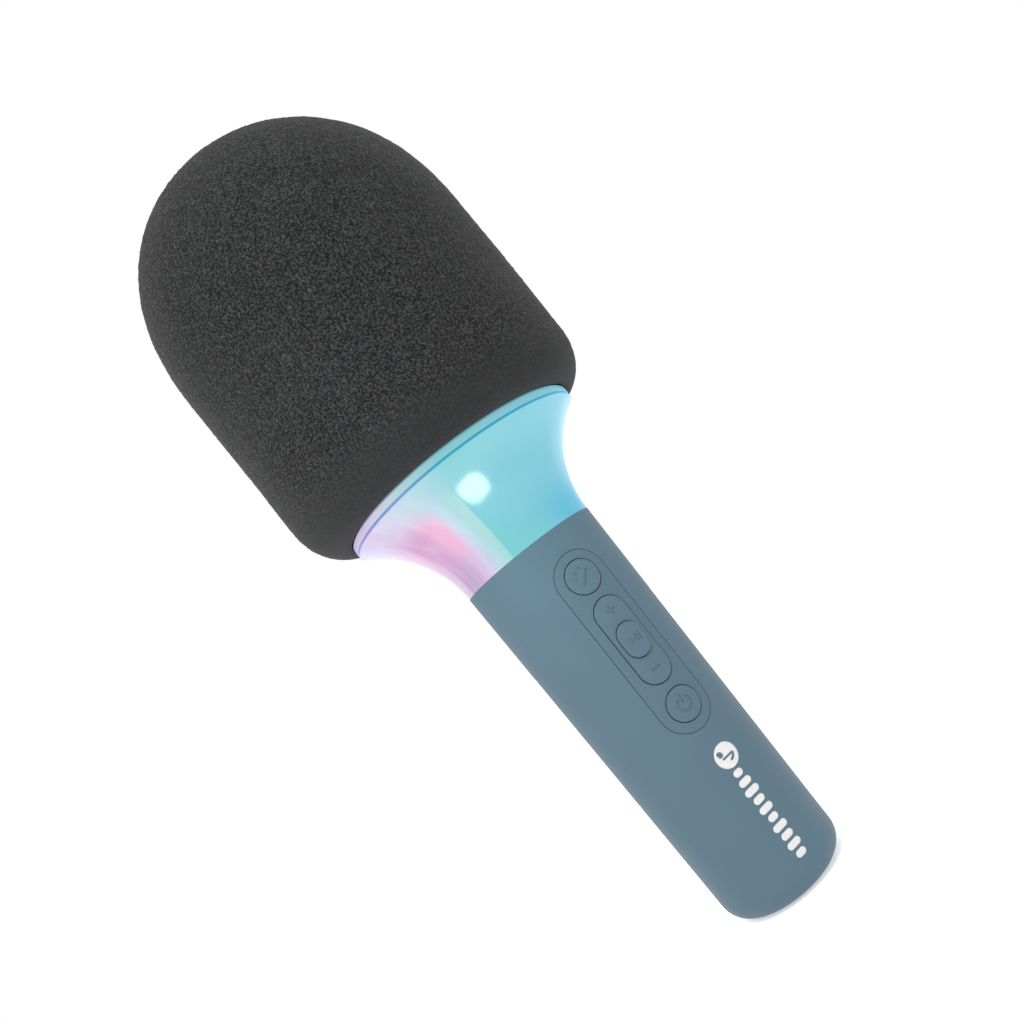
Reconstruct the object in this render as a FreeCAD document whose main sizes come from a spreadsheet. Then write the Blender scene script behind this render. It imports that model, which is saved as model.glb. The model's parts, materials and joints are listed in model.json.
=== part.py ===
import FreeCAD, Part
import math
import os
import Sketcher

# Toy karaoke microphone, standing upright on the flat end of its grip.
# Frame: origin at the centre of the flat end, +Z up the axis to the foam head,
# and the keys on the -Y side. Every length is in millimetres.

Vector = FreeCAD.Vector
doc = FreeCAD.newDocument("toy_microphone")

# ---------------------------------------------------------------------------
# Driving dimensions, kept in the spreadsheet under these aliases
# ---------------------------------------------------------------------------

DIMENSIONS = {
    # grip
    "grip_length": 113.8,
    "grip_base_radius": 18.8,
    "grip_neck_radius": 20.3,
    "grip_round": 7.0,
    "grip_wall": 2.2,
    "grip_floor": 2.6,
    # keypad, all heights measured from the flat end
    "panel_height": 78.7,
    "panel_length": 56.0,
    "panel_width": 14.8,
    "panel_gap": 0.15,
    "key_gap": 0.22,
    "key_depth": 2.2,
    "key_round": 0.3,
    "effects_height": 99.4,
    "power_height": 58.35,
    "round_key_radius": 4.7,
    "round_key_rise": 0.35,
    "flange_extra": 0.9,
    "rocker_height": 79.05,
    "rocker_length": 26.5,
    "rocker_width": 9.3,
    "rocker_rise": 0.4,
    "rocker_rest_gap": 0.35,
    "play_length": 10.1,
    "play_width": 7.0,
    "play_rise": 1.2,
    "play_gap": 0.15,
    "play_round": 0.6,
    "icon_depth": 0.15,
    "icon_line": 0.6,
    "pivot_depth": 14.9,
    "pin_radius": 0.9,
    "pin_play": 0.05,
    "post_spacing": 9.1,
    # switches and main board
    "board_face": 8.6,
    "board_thickness": 1.6,
    "board_width": 26.0,
    "board_bottom": 22.0,
    "board_top": 106.0,
    "switch_side": 6.0,
    "switch_body": 3.5,
    "plunger_radius": 1.7,
    "plunger_reach": 1.0,
    "plunger_length": 3.5,
    "stem_radius": 1.5,
    "screw_radius": 1.0,
    "screw_across": 21.0,
    "screw_low": 26.0,
    "screw_high": 103.0,
    # chassis and battery
    "chassis_face": 6.4,
    "chassis_thickness": 1.4,
    "cell_radius": 9.15,
    "cell_length": 65.0,
    "cell_bottom": 24.0,
    "cell_offset": 6.5,
    # charging socket
    "usb_width": 8.94,
    "usb_thickness": 3.26,
    "usb_length": 7.3,
    "usb_wall": 0.3,
    "usb_bottom": 0.4,
    # collar
    "collar_height": 26.6,
    "flare_radius": 30.6,
    "collar_wall": 1.8,
    "rim_radius": 35.8,
    "rim_height": 2.8,
    "rim_groove": 0.7,
    "sleeve_radius": 17.9,
    "sleeve_wall": 3.0,
    "led_board_height": 118.0,
    "led_circle": 15.4,
    "led_side": 3.5,
    "led_body": 1.6,
    # head
    "head_base_height": 143.2,
    "head_base_thickness": 2.2,
    "basket_radius": 35.1,
    "basket_wall": 1.6,
    "basket_shoulder": 192.0,
    "basket_dome": 43.9,
    "rib_width": 2.4,
    "foam_bottom": 143.5,
    "foam_radius": 45.2,
    "foam_mouth": 35.4,
    "foam_edge": 37.4,
    "foam_corner": 12.7,
    "foam_shoulder": 197.5,
    "foam_dome": 48.5,
    "foam_power": 2.22,
    # speaker and capsule
    "speaker_height": 170.0,
    "speaker_radius": 30.5,
    "speaker_screw_circle": 28.7,
    "magnet_radius": 13.0,
    "bridge_height": 203.5,
    "capsule_radius": 4.85,
    "boot_wall": 1.2,
    "lead_radius": 0.6,
}
D = DIMENSIONS

sheet = doc.addObject("Spreadsheet::Sheet", "Dims")
for row, (alias, size) in enumerate(DIMENSIONS.items(), start=1):
    sheet.set(f"A{row}", alias)
    sheet.set(f"B{row}", str(size))
    sheet.setAlias(f"B{row}", alias)
doc.recompute()

AXES = {"X": Vector(1, 0, 0), "Y": Vector(0, 1, 0), "Z": Vector(0, 0, 1)}


# ---------------------------------------------------------------------------
# Small helpers. Sizes are spreadsheet expressions such as "Dims.grip_wall * 2"
# ---------------------------------------------------------------------------

def bind(item, **sizes):
    """Bind properties of an object to spreadsheet expressions."""
    for name, size in sizes.items():
        item.setExpression(name, str(size))


def place(item, x=0, y=0, z=0, turn=None):
    """Put an object at an expression-bound place, turned about one axis."""
    if turn:
        axis, degrees = turn
        item.Placement = FreeCAD.Placement(Vector(), FreeCAD.Rotation(AXES[axis], degrees))
    for name, size in (("x", x), ("y", y), ("z", z)):
        if size != 0:
            item.setExpression(f"Placement.Base.{name}", str(size))
    return item


def label(item, name):
    """Name a finished sub-part; the label is also its file name."""
    item.Label = name
    SUBPARTS.append(item)
    return item


SUBPARTS = []


def box(name, x, y, z):
    """A box given by the (low, high) expressions of each side."""
    item = doc.addObject("Part::Box", name)
    bind(item, Length=f"({x[1]}) - ({x[0]})", Width=f"({y[1]}) - ({y[0]})",
         Height=f"({z[1]}) - ({z[0]})")
    return place(item, x[0], y[0], z[0])


def rod(name, radius, length, x=0, y=0, z=0, along="Z"):
    """A cylinder that starts at a place and runs along +X, -Y (front) or +Z."""
    item = doc.addObject("Part::Cylinder", name)
    bind(item, Radius=radius, Height=length)
    turn = {"Z": None, "X": ("Y", 90), "front": ("X", 90)}[along]
    return place(item, x, y, z, turn)


def fuse(name, items):
    """Join solids into one."""
    item = doc.addObject("Part::MultiFuse", name)
    item.Shapes = items
    return item


def cut(name, base, *tools):
    """Take tools away from a solid."""
    item = doc.addObject("Part::Cut", name)
    item.Base = base
    item.Tool = tools[0] if len(tools) == 1 else fuse(f"{name}_tools", list(tools))
    return item


def common(name, base, tool):
    """Keep what two solids share."""
    item = doc.addObject("Part::Common", name)
    item.Base = base
    item.Tool = tool
    return item


def group(name, items):
    """Keep separate solids together in one sub-part."""
    item = doc.addObject("Part::Compound", name)
    item.Links = items
    return item


def origin_plane(body, role):
    """One of a body's own origin planes."""
    return next(item for item in body.Origin.OriginFeatures if item.Role == role)


def sketch_on(body, name, role):
    """A sketch attached to one of its body's origin planes."""
    sketch = body.newObject("Sketcher::SketchObject", name)
    sketch.AttachmentSupport = [(origin_plane(body, role), "")]
    sketch.MapMode = "FlatFace"
    return sketch


def fix(sketch, kind, *where, drawn, size):
    """Dimension a sketch as first drawn, then bind the dimension to an expression."""
    index = sketch.addConstraint(Sketcher.Constraint(kind, *where, drawn))
    sketch.setExpression(f"Constraints[{index}]", size)


def turned(name, points):
    """A body turned about Z from a closed outline of (radius, height) expressions."""
    body = doc.addObject("PartDesign::Body", name)
    sketch = sketch_on(body, f"{name}_outline", "XZ_Plane")
    count = len(points)
    corners = [Vector(20 + 9 * math.cos(2 * math.pi * k / count),
                      9 * math.sin(2 * math.pi * k / count), 0) for k in range(count)]
    for k in range(count):
        sketch.addGeometry(Part.LineSegment(corners[k], corners[(k + 1) % count]))
    for k in range(count):
        sketch.addConstraint(Sketcher.Constraint("Coincident", k, 2, (k + 1) % count, 1))
    for k, (radius, height) in enumerate(points):
        fix(sketch, "DistanceX", -1, 1, k, 1, drawn=corners[k].x, size=radius)
        fix(sketch, "DistanceY", -1, 1, k, 1, drawn=corners[k].y, size=height)
    revolution = body.newObject("PartDesign::Revolution", f"{name}_turned")
    revolution.Profile = sketch
    revolution.ReferenceAxis = (sketch, ["V_Axis"])
    revolution.Angle = 360
    return body


def pill_outline(sketch, height, length, width):
    """A round-ended slot outline, long side upright, centred at a height."""
    top = Vector(0, 90, 0)
    low = Vector(0, 70, 0)
    sketch.addGeometry(Part.ArcOfCircle(Part.Circle(top, AXES["Z"], 4), 0, math.pi))
    sketch.addGeometry(Part.ArcOfCircle(Part.Circle(low, AXES["Z"], 4), math.pi, 2 * math.pi))
    sketch.addGeometry(Part.LineSegment(Vector(-4, 90, 0), Vector(-4, 70, 0)))
    sketch.addGeometry(Part.LineSegment(Vector(4, 70, 0), Vector(4, 90, 0)))
    for ends in ((0, 2, 2, 1), (2, 2, 1, 1), (1, 2, 3, 1), (3, 2, 0, 1)):
        sketch.addConstraint(Sketcher.Constraint("Tangent", *ends))
    sketch.addConstraint(Sketcher.Constraint("Equal", 0, 1))
    sketch.addConstraint(Sketcher.Constraint("PointOnObject", 0, 3, -2))
    sketch.addConstraint(Sketcher.Constraint("PointOnObject", 1, 3, -2))
    fix(sketch, "Radius", 0, drawn=4, size=f"({width}) / 2")
    reach = f"(({length}) - ({width})) / 2"
    fix(sketch, "DistanceY", -1, 1, 0, 3, drawn=90, size=f"({height}) + {reach}")
    fix(sketch, "DistanceY", -1, 1, 1, 3, drawn=70, size=f"({height}) - {reach}")


def pill_bar(name, height, length, width):
    """A pill-shaped bar that runs out through the front wall, to cut with."""
    body = doc.addObject("PartDesign::Body", name)
    sketch = sketch_on(body, f"{name}_outline", "XZ_Plane")
    pill_outline(sketch, height, length, width)
    pad = body.newObject("PartDesign::Pad", f"{name}_bar")
    pad.Profile = sketch
    bind(pad, Length="Dims.grip_neck_radius * 1.5")
    return body


def front_skin(name, rise):
    """A turned ring that follows the grip's taper, key_depth below it to rise above it."""
    return turned(name, [
        ("Dims.grip_base_radius - Dims.key_depth", "0"),
        (f"Dims.grip_base_radius + {rise}", "0"),
        (f"Dims.grip_neck_radius + {rise}", "Dims.grip_length"),
        ("Dims.grip_neck_radius - Dims.key_depth", "Dims.grip_length"),
    ])


STEM_START = "-(Dims.board_face + Dims.switch_body + Dims.plunger_reach)"


def grip_radius(height):
    """The grip's outside radius at a height, as an expression."""
    return (f"(Dims.grip_base_radius + (Dims.grip_neck_radius - Dims.grip_base_radius)"
            f" * ({height}) / Dims.grip_length)")


# ---------------------------------------------------------------------------
# Grip: one moulded tube, closed at the flat end, with a keypad opening
# ---------------------------------------------------------------------------

def make_handle_shell():
    body = turned("grip_tube", [
        ("0", "0"),
        ("Dims.grip_base_radius", "0"),
        ("Dims.grip_neck_radius", "Dims.grip_length"),
        ("Dims.grip_neck_radius - Dims.grip_wall", "Dims.grip_length"),
        ("Dims.grip_base_radius - Dims.grip_wall", "Dims.grip_round"),
        ("Dims.grip_base_radius - Dims.grip_round", "Dims.grip_floor"),
        ("0", "Dims.grip_floor"),
    ])
    doc.recompute()
    solid = body.Tip
    edges = [f"Edge{k}" for k, edge in enumerate(solid.Shape.Edges, start=1)
             if edge.BoundBox.ZMax < 0.01 and edge.BoundBox.XLength > D["grip_base_radius"]]
    rounded = body.newObject("PartDesign::Fillet", "grip_end_round")
    rounded.Base = (solid, edges)
    bind(rounded, Radius="Dims.grip_round")
    doc.recompute()
    keypad = pill_bar("keypad_opening", "Dims.panel_height",
                      "Dims.panel_length + 2 * Dims.panel_gap",
                      "Dims.panel_width + 2 * Dims.panel_gap")
    socket = usb_stadium("socket_opening", "Dims.panel_gap", "0", "Dims.grip_floor")
    label(cut("grip", body, keypad, socket), "handle_shell")


def usb_stadium(name, grow, low, high):
    """An upright bar with the charging socket's flat-sided round-ended section."""
    thick = f"(Dims.usb_thickness + 2 * ({grow}))"
    half = "(Dims.usb_width - Dims.usb_thickness) / 2"
    bar = box(f"{name}_middle", (f"-({half})", half), (f"-{thick} / 2", f"{thick} / 2"),
              (low, high))
    ends = [rod(f"{name}_end{k}", f"{thick} / 2", f"({high}) - ({low})", x=f"{side} * {half}", z=low)
            for k, side in enumerate((-1, 1))]
    return fuse(name, [bar] + ends)


# ---------------------------------------------------------------------------
# Keypad: bezel, three keys and the volume rocker
# ---------------------------------------------------------------------------

def make_control_panel():
    skin = front_skin("panel_skin", "0")
    outline = pill_bar("panel_outline", "Dims.panel_height", "Dims.panel_length", "Dims.panel_width")
    plate = common("panel_plate", skin, outline)
    lugs = []
    for k, side in enumerate((-1, 1)):
        low, high = ("5.5", "7.0") if side > 0 else ("-7.0", "-5.5")
        lugs.append(box(f"panel_lug{k}", (low, high), ("-17.4", "-Dims.pivot_depth + 1.4"),
                        ("Dims.rocker_height - 1.7", "Dims.rocker_height + 1.7")))
    holes = [pill_bar("panel_rocker_hole", "Dims.rocker_height",
                      "Dims.rocker_length + 2 * Dims.key_gap",
                      "Dims.rocker_width + 2 * Dims.key_gap")]
    for name in ("effects", "power"):
        holes.append(rod(f"panel_{name}_hole", "Dims.round_key_radius + Dims.key_gap", "30",
                         z=f"Dims.{name}_height", along="front"))
    holes.append(rod("panel_pin_hole", "Dims.pin_radius + Dims.pin_play", "20", x="-10",
                     y="-Dims.pivot_depth", z="Dims.rocker_height", along="X"))
    label(cut("panel", fuse("panel_blank", [plate] + lugs), *holes), "control_panel")


def rounded_cap(name, cap, round_size="key_round"):
    """Soften the rim of a key's outer face."""
    doc.recompute()
    faces = sorted(cap.Shape.Faces, key=lambda face: face.CenterOfMass.y)
    rim = faces[0].Edges
    edges = [k for k, edge in enumerate(cap.Shape.Edges, start=1)
             if any(edge.isSame(other) for other in rim)]
    item = doc.addObject("Part::Fillet", name)
    item.Base = cap
    item.Edges = [(k, D[round_size], D[round_size]) for k in edges]
    return item


def icon_bar(name, width, height, x, z):
    """A straight mark of a symbol, as a bar that runs through the front wall."""
    return box(name, (f"({x}) - ({width}) / 2", f"({x}) + ({width}) / 2"),
               ("-Dims.grip_neck_radius * 1.5", "0"),
               (f"({z}) - ({height}) / 2", f"({z}) + ({height}) / 2"))


def engraving(name, rise, marks):
    """The part of a symbol's marks that dips icon_depth below a curved key face."""
    sheath = turned(f"{name}_sheath", [
        (f"Dims.grip_base_radius + {rise} - Dims.icon_depth", "0"),
        (f"Dims.grip_base_radius + {rise} + 2", "0"),
        (f"Dims.grip_neck_radius + {rise} + 2", "Dims.grip_length"),
        (f"Dims.grip_neck_radius + {rise} - Dims.icon_depth", "Dims.grip_length"),
    ])
    return common(f"{name}_engraving", sheath, fuse(f"{name}_marks", marks))


def round_key(name, marks):
    """A round key: curved cap with its symbol, retaining flange, and a stem onto its switch."""
    height = f"Dims.{name}_height"
    skin = front_skin(f"{name}_skin", "Dims.round_key_rise")
    outline = rod(f"{name}_outline", "Dims.round_key_radius", "30", z=height, along="front")
    cap = rounded_cap(f"{name}_soft_cap", common(f"{name}_cap", skin, outline))
    body = fuse(f"{name}_key", [
        cap,
        rod(f"{name}_neck", "Dims.round_key_radius - 0.4", "3.0", y="-15.2", z=height, along="front"),
        rod(f"{name}_flange", "Dims.round_key_radius + Dims.flange_extra", "0.8", y="-15.2",
            z=height, along="front"),
        rod(f"{name}_stem", "Dims.stem_radius", "3.0", y=STEM_START, z=height, along="front"),
    ])
    symbol = engraving(name, "Dims.round_key_rise", marks)
    label(cut(f"{name}_finished", body, symbol), f"{name}_button")


def make_effects_button():
    wand = doc.addObject("Part::Box", "effects_wand")
    bind(wand, Length="Dims.icon_line * 1.2", Width="Dims.grip_neck_radius * 1.5", Height="4.6")
    place(wand, "-1.5", "-Dims.grip_neck_radius * 1.5", "Dims.effects_height - 1.9", ("Y", 42))
    sparks = [rod(f"effects_spark{k}", "Dims.icon_line * 0.6", "Dims.grip_neck_radius * 1.5",
                  x=x, z=f"Dims.effects_height + {z}", along="front")
              for k, (x, z) in enumerate((("-1.3", 1.6), ("-2.2", 0.2), ("0.2", 2.5)))]
    round_key("effects", [wand] + sparks)


def make_power_button():
    outer = rod("power_ring_outer", "2.2", "30", z="Dims.power_height", along="front")
    inner = rod("power_ring_inner", "2.2 - Dims.icon_line", "30", z="Dims.power_height",
                along="front")
    gap = box("power_ring_gap", ("-0.9", "0.9"), ("-30", "0"),
              ("Dims.power_height + 0.6", "Dims.power_height + 3"))
    ring = cut("power_ring", outer, inner, gap)
    bar = icon_bar("power_bar", "Dims.icon_line", "2.3", "0", "Dims.power_height + 1.5")
    round_key("power", [ring, bar])


def make_play_button():
    height = "Dims.rocker_height"
    skin = front_skin("play_skin", "Dims.play_rise")
    outline = pill_bar("play_outline", height, "Dims.play_length", "Dims.play_width")
    cap = rounded_cap("play_soft_cap", common("play_cap", skin, outline), "play_round")
    body = fuse("play_key", [
        cap,
        rod("play_neck", "Dims.play_width / 2 - 0.3", "3.0", y="-16.1", z=height, along="front"),
        box("play_flange", ("-Dims.play_width / 2", "Dims.play_width / 2"), ("-16.9", "-16.1"),
            (f"{height} - 6.6", f"{height} + 6.6")),
        rod("play_stem", "Dims.stem_radius", "3.5", y=STEM_START, z=height, along="front"),
    ])
    triangle = doc.addObject("Part::Prism", "play_triangle")
    triangle.Polygon = 3
    bind(triangle, Circumradius="1.2", Height="Dims.grip_neck_radius * 1.5")
    place(triangle, "-0.9", 0, height, ("X", 90))
    bars = [icon_bar(f"pause_bar{k}", "Dims.icon_line * 0.8", "2.1", x, height)
            for k, x in enumerate(("0.8", "1.7"))]
    symbol = engraving("play", "Dims.play_rise", [triangle] + bars)
    label(cut("play_finished", body, symbol), "play_button")


def make_volume_rocker():
    height = "Dims.rocker_height"
    skin = front_skin("rocker_skin", "Dims.rocker_rise")
    outline = pill_bar("rocker_outline", height, "Dims.rocker_length", "Dims.rocker_width")
    cap = rounded_cap("rocker_soft_cap", common("rocker_cap", skin, outline))
    pieces = [cap]
    for k, side in enumerate((-1, 1)):
        low, high = ("3.85", "4.6") if side > 0 else ("-4.6", "-3.85")
        pieces.append(box(f"rocker_cheek{k}", (low, high), ("-18.2", "-Dims.pivot_depth + 1.1"),
                          (f"{height} - 1.6", f"{height} + 1.6")))
        pin_start = "4.2" if side > 0 else "-6.8"
        pieces.append(rod(f"rocker_pin{k}", "Dims.pin_radius", "2.6", x=pin_start,
                          y="-Dims.pivot_depth", z=height, along="X"))
        post = f"{height} + {side} * Dims.post_spacing"
        pieces.append(rod(f"rocker_post{k}", "Dims.stem_radius", "4.6",
                          y=f"{STEM_START} - Dims.rocker_rest_gap",
                          z=post, along="front"))
    opening = pill_bar("rocker_play_hole", height, "Dims.play_length + 2 * Dims.play_gap + 0.1",
                       "Dims.play_width + 2 * Dims.play_gap")
    marks = [icon_bar("minus_bar", "2.6", "Dims.icon_line", "0", f"{height} - 9.2"),
             icon_bar("plus_bar", "2.6", "Dims.icon_line", "0", f"{height} + 9.4"),
             icon_bar("plus_upright", "Dims.icon_line", "2.6", "0", f"{height} + 9.4")]
    symbol = engraving("rocker", "Dims.rocker_rise", marks)
    label(cut("rocker_finished", fuse("rocker_key", pieces), opening, symbol), "volume_rocker")


# ---------------------------------------------------------------------------
# Switches and the main board
# ---------------------------------------------------------------------------

SWITCH_HEIGHTS = {
    "effects": "Dims.effects_height",
    "volume_up": "Dims.rocker_height + Dims.post_spacing",
    "play": "Dims.rocker_height",
    "volume_down": "Dims.rocker_height - Dims.post_spacing",
    "power": "Dims.power_height",
}
PLUNGER_FACE = "-(Dims.board_face + Dims.switch_body + Dims.plunger_reach - Dims.plunger_length)"


def make_switches():
    bodies = []
    for name, height in SWITCH_HEIGHTS.items():
        can = box(f"{name}_switch_can", ("-Dims.switch_side / 2", "Dims.switch_side / 2"),
                  ("-Dims.board_face - Dims.switch_body", "-Dims.board_face"),
                  (f"{height} - Dims.switch_side / 2", f"{height} + Dims.switch_side / 2"))
        well = rod(f"{name}_switch_well", "Dims.plunger_radius + Dims.pin_play", "10",
                   y="-Dims.board_face - 0.4", z=height, along="front")
        bodies.append(cut(f"{name}_switch", can, well))
    label(group("switch_row", bodies), "tact_switches")


def plunger(name):
    return rod(f"{name}_plunger", "Dims.plunger_radius", "Dims.plunger_length", y=PLUNGER_FACE,
               z=SWITCH_HEIGHTS[name], along="front")


def make_plungers():
    for name in ("effects", "play", "power"):
        label(plunger(name), f"{name}_switch_plunger")
    label(group("volume_plungers", [plunger("volume_up"), plunger("volume_down")]),
          "volume_switch_plungers")


def corner_screw_places():
    """The four board screws, as (x, z) expressions."""
    return [(f"{side} * Dims.screw_across / 2", height)
            for side in (-1, 1) for height in ("Dims.screw_low", "Dims.screw_high")]


def make_main_board():
    board = box("board_blank", ("-Dims.board_width / 2", "Dims.board_width / 2"),
                ("-Dims.board_face", "-Dims.board_face + Dims.board_thickness"),
                ("Dims.board_bottom", "Dims.board_top"))
    holes = [rod(f"board_hole{k}", "Dims.screw_radius", "5", x=x,
                 y="-Dims.board_face + 3", z=z, along="front")
             for k, (x, z) in enumerate(corner_screw_places())]
    label(cut("board", board, *holes), "main_board")


def make_board_parts():
    label(box("module_can", ("-6", "6"), ("-Dims.board_face - 1.9", "-Dims.board_face"),
              ("34", "49")), "wireless_module")
    label(group("chip_pair", [
        box("amplifier_chip", ("6.8", "11.8"), ("-Dims.board_face - 1.1", "-Dims.board_face"),
            ("62", "67")),
        box("effects_chip", ("-11.8", "-6.8"), ("-Dims.board_face - 1.1", "-Dims.board_face"),
            ("86", "92")),
    ]), "audio_chips")
    label(group("capacitor_pair", [
        rod(f"capacitor{k}", "2.5", "5.4", x=x, y="-Dims.board_face", z="29", along="front")
        for k, x in enumerate(("-3.4", "3.4"))
    ]), "capacitors")


def make_board_screws():
    screws = []
    for k, (x, z) in enumerate(corner_screw_places()):
        head = rod(f"board_screw_head{k}", "Dims.screw_radius * 1.9", "Dims.screw_radius * 1.2",
                   x=x, y="-Dims.board_face", z=z, along="front")
        shank = rod(f"board_screw_shank{k}", "Dims.screw_radius", "3.4", x=x,
                    y="-Dims.board_face + 3.4", z=z, along="front")
        slot = box(f"board_screw_slot{k}", (f"({x}) - 1.2", f"({x}) + 1.2"),
                   ("-Dims.board_face - 2", "-Dims.board_face - 0.7"),
                   (f"{z} - 0.2", f"{z} + 0.2"))
        screws.append(cut(f"board_screw{k}", fuse(f"board_screw_blank{k}", [head, shank]), slot))
    label(group("board_screw_set", screws), "board_screws")


# ---------------------------------------------------------------------------
# Chassis and battery
# ---------------------------------------------------------------------------

def make_inner_chassis():
    plate = box("chassis_plate", ("-13.5", "13.5"),
                ("-Dims.chassis_face", "-Dims.chassis_face + Dims.chassis_thickness"),
                ("24", "109"))
    saddles = [box(f"chassis_saddle{k}", ("-9.8", "9.8"),
                   ("-Dims.chassis_face + Dims.chassis_thickness - 0.2", "3.5"),
                   (f"{low}", f"{low} + 6")) for k, low in enumerate((28, 79))]
    stand_offs = [rod(f"chassis_stand_off{k}", "2.2",
                      "Dims.board_face - Dims.board_thickness - Dims.chassis_face + 0.2", x=x,
                      y="-Dims.chassis_face + 0.2", z=z, along="front")
                  for k, (x, z) in enumerate(corner_screw_places())]
    disc = rod("chassis_disc", "17.7", "1.8", z="107.5")
    blank = fuse("chassis_blank", [plate, disc] + saddles + stand_offs)
    bed = rod("chassis_cell_bed", "Dims.cell_radius + 0.15", "83", y="Dims.cell_offset", z="22")
    holes = [rod(f"chassis_hole{k}", "Dims.screw_radius", "8", x=x, y="-Dims.chassis_face + 3", z=z,
                 along="front") for k, (x, z) in enumerate(corner_screw_places())]
    wire_gap = box("chassis_wire_gap", ("-9", "9"), ("-12", "-Dims.chassis_face"),
                   ("107", "110"))
    holes.append(rod("chassis_lead_hole", "1.2", "8", x="-1.5", y="-Dims.chassis_face + 3",
                     z="91.3", along="front"))
    label(cut("chassis", blank, bed, wire_gap, *holes), "inner_chassis")


def make_battery():
    label(fuse("cell", [
        rod("cell_can", "Dims.cell_radius", "Dims.cell_length", y="Dims.cell_offset",
            z="Dims.cell_bottom"),
        rod("cell_button", "2.8", "1.2", y="Dims.cell_offset",
            z="Dims.cell_bottom + Dims.cell_length"),
    ]), "battery_cell")
    label(group("tab_pair", [
        box("tab_plus", ("-2.5", "2.5"), ("0", "9"),
            ("Dims.cell_bottom + Dims.cell_length + 1.2", "Dims.cell_bottom + Dims.cell_length + 1.5")),
        box("tab_minus", ("-2.5", "2.5"), ("0", "9"),
            ("Dims.cell_bottom - 0.3", "Dims.cell_bottom")),
    ]), "battery_tabs")


# ---------------------------------------------------------------------------
# Charging socket in the flat end
# ---------------------------------------------------------------------------

def make_charging():
    top = "Dims.usb_bottom + Dims.usb_length"
    shell = usb_stadium("usb_outside", "0", "Dims.usb_bottom", top)
    cavity = usb_stadium("usb_inside", "-Dims.usb_wall", "Dims.usb_bottom - 1",
                         f"{top} - Dims.usb_wall")
    label(cut("usb_shell", shell, cavity), "usb_c_shell")
    label(box("usb_tongue", ("-3.35", "3.35"), ("-0.35", "0.35"),
              ("Dims.usb_bottom + 0.8", f"{top} - Dims.usb_wall")), "usb_c_tongue")
    label(box("charge_card", ("-7.5", "7.5"),
              ("Dims.usb_thickness / 2", "Dims.usb_thickness / 2 + 1.2"),
              ("Dims.grip_floor", "15")), "charge_board")


# ---------------------------------------------------------------------------
# Neck: sleeve, light ring, reflector, collar and rim
# ---------------------------------------------------------------------------

def make_neck():
    label(turned("sleeve", [
        ("Dims.sleeve_radius - Dims.sleeve_wall", "109.3"),
        ("Dims.sleeve_radius", "109.3"),
        ("Dims.sleeve_radius", "Dims.led_board_height"),
        ("Dims.sleeve_radius - Dims.sleeve_wall", "Dims.led_board_height"),
    ]), "neck_sleeve")
    label(turned("led_card", [
        ("10.5", "Dims.led_board_height"),
        ("Dims.sleeve_radius", "Dims.led_board_height"),
        ("Dims.sleeve_radius", "Dims.led_board_height + 1.2"),
        ("10.5", "Dims.led_board_height + 1.2"),
    ]), "led_ring_board")
    leds = []
    for k in range(8):
        led = doc.addObject("Part::Box", f"led{k}")
        bind(led, Length="Dims.led_side", Width="Dims.led_side", Height="Dims.led_body")
        around = f"{k} * 45deg"
        middle = "Dims.led_side / 2"
        place(led,
              f"(Dims.led_circle - {middle}) * cos({around}) + {middle} * sin({around})",
              f"(Dims.led_circle - {middle}) * sin({around}) - {middle} * cos({around})",
              "Dims.led_board_height + 1.2", ("Z", 45 * k))
        leds.append(led)
    label(group("led_set", leds), "rgb_leds")
    label(turned("reflector", [
        ("11.0", "Dims.led_board_height + 1.2"),
        ("12.2", "Dims.led_board_height + 1.2"),
        ("28.2", "Dims.grip_length + Dims.collar_height - 1"),
        ("27.0", "Dims.grip_length + Dims.collar_height - 1"),
    ]), "collar_reflector")


def make_light_collar():
    body = doc.addObject("PartDesign::Body", "collar")
    sketch = sketch_on(body, "collar_outline", "XZ_Plane")
    centre = Vector(D["grip_neck_radius"] + D["flare_radius"], D["grip_length"], 0)
    radii = (D["flare_radius"], D["flare_radius"] + D["collar_wall"])
    ends = []
    for radius in radii:
        start = math.pi - math.asin(D["collar_height"] / radius)
        arc = Part.ArcOfCircle(Part.Circle(centre, AXES["Z"], radius), start, math.pi)
        sketch.addGeometry(arc)
        ends.append((arc.StartPoint, arc.EndPoint))
    sketch.addGeometry(Part.LineSegment(ends[0][0], ends[1][0]))
    sketch.addGeometry(Part.LineSegment(ends[0][1], ends[1][1]))
    for joined in ((2, 1, 0, 1), (2, 2, 1, 1), (3, 1, 0, 2), (3, 2, 1, 2), (0, 3, 1, 3)):
        sketch.addConstraint(Sketcher.Constraint("Coincident", *joined))
    sketch.addConstraint(Sketcher.Constraint("Horizontal", 2))
    sketch.addConstraint(Sketcher.Constraint("Horizontal", 3))
    fix(sketch, "DistanceX", -1, 1, 0, 3, drawn=centre.x,
        size="Dims.grip_neck_radius + Dims.flare_radius")
    fix(sketch, "DistanceY", -1, 1, 0, 3, drawn=centre.y, size="Dims.grip_length")
    fix(sketch, "DistanceY", -1, 1, 0, 2, drawn=centre.y, size="Dims.grip_length")
    fix(sketch, "DistanceY", -1, 1, 0, 1, drawn=centre.y + D["collar_height"],
        size="Dims.grip_length + Dims.collar_height")
    fix(sketch, "Radius", 0, drawn=radii[0], size="Dims.flare_radius")
    fix(sketch, "Radius", 1, drawn=radii[1], size="Dims.flare_radius + Dims.collar_wall")
    revolution = body.newObject("PartDesign::Revolution", "collar_turned")
    revolution.Profile = sketch
    revolution.ReferenceAxis = (sketch, ["V_Axis"])
    revolution.Angle = 360
    label(body, "light_collar")


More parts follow.
